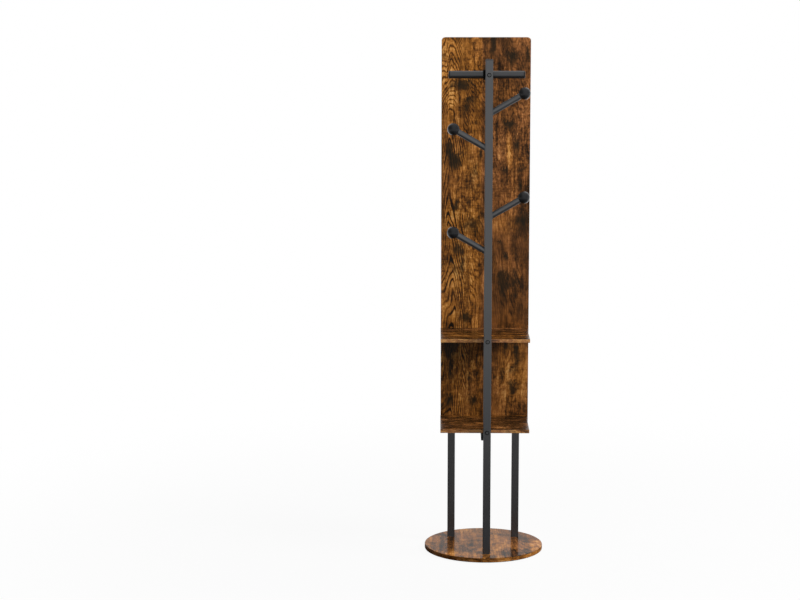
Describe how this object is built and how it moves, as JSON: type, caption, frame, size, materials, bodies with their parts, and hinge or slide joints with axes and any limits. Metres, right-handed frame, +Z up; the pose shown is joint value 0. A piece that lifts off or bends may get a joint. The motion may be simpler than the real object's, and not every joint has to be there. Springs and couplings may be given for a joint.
{
  "type": "revolving mirror and coat stand",
  "caption": "Tall narrow dressing mirror that turns on a round base, with a coat pole, ball-ended hooks, a crossbar and shelves on its back.",
  "frame": {"origin": "on the floor, on the axis that the stand turns about, at the centre of the disc", "axes": "+Z up, +Y towards the side that the mirrors face, -Y towards the side with the coat pole, +X to the right seen from the coat side"},
  "size_m": [0.3999, 0.4, 1.73],
  "materials": {
    "wood_board": "semi-gloss laminate",
    "dark_frame": "satin powder coat",
    "gloss_balls": "gloss",
    "black_plastic": "satin",
    "mirror_glass": "polished",
    "foam_tape": "matt",
    "bolt_heads": "dark plated",
    "zinc_steel": "zinc plated",
    "cage_plastic": "matt",
    "rubber": "matt"
  },
  "bodies": {
    "floor_base": {"rubber_feet": "rubber", "base_plate": "zinc_steel", "lower_race": "zinc_steel", "lower_race_screws": "zinc_steel", "pivot_stud": "zinc_steel", "retaining_clip": "zinc_steel"},
    "ball_cage": {"ball_cage": "cage_plastic", "bearing_balls": "zinc_steel"},
    "turning_stand": {"turntable_disc": "wood_board", "lower_shelf": "wood_board", "upper_shelf": "wood_board", "backboard": "wood_board", "leg_left": "dark_frame", "leg_right": "dark_frame", "coat_pole": "dark_frame", "centre_rail": "dark_frame", "cross_rail_left": "dark_frame", "cross_rail_right": "dark_frame", "crossbar": "dark_frame", "leg_top_caps": "black_plastic", "pole_top_cap": "black_plastic", "centre_rail_cap": "black_plastic", "crossbar_cap_left": "black_plastic", "crossbar_cap_right": "black_plastic", "crossbar_saddle": "black_plastic", "upper_mirror": "mirror_glass", "lower_mirror": "mirror_glass", "upper_mirror_tape": "foam_tape", "lower_mirror_tape": "foam_tape", "shelf_bolts": "bolt_heads", "crossbar_bolt": "bolt_heads", "upper_race": "zinc_steel", "upper_race_screws": "zinc_steel", "pivot_flange": "zinc_steel", "pivot_flange_screws": "zinc_steel", "foot_plugs": "zinc_steel", "foot_bolts": "zinc_steel", "centre_rail_plug": "zinc_steel", "frame_screws": "zinc_steel", "board_screws": "zinc_steel", "rail_bolt": "zinc_steel", "shelf_sleeves": "zinc_steel", "crossbar_plug": "zinc_steel", "hook_plugs": "zinc_steel", "hook_studs": "zinc_steel", "hook_arm_right_1": "dark_frame", "hook_ball_right_1": "gloss_balls", "hook_arm_left_1": "dark_frame", "hook_ball_left_1": "gloss_balls", "hook_arm_right_2": "dark_frame", "hook_ball_right_2": "gloss_balls", "hook_arm_left_2": "dark_frame", "hook_ball_left_2": "gloss_balls"}
  },
  "joints": [
    {"name": "turntable_spin", "type": "hinge", "parent": "floor_base", "child": "turning_stand", "pos_m": [0, 0, 0.0076], "axis": [0, 0, 1], "continuous": true},
    {"name": "cage_spin", "type": "hinge", "parent": "floor_base", "child": "ball_cage", "pos_m": [0, 0, 0.0076], "axis": [0, 0, 1], "continuous": true}
  ],
  "couplings": [
    {"joint": "cage_spin", "follows": "turntable_spin", "ratio": 0.5}
  ]
}
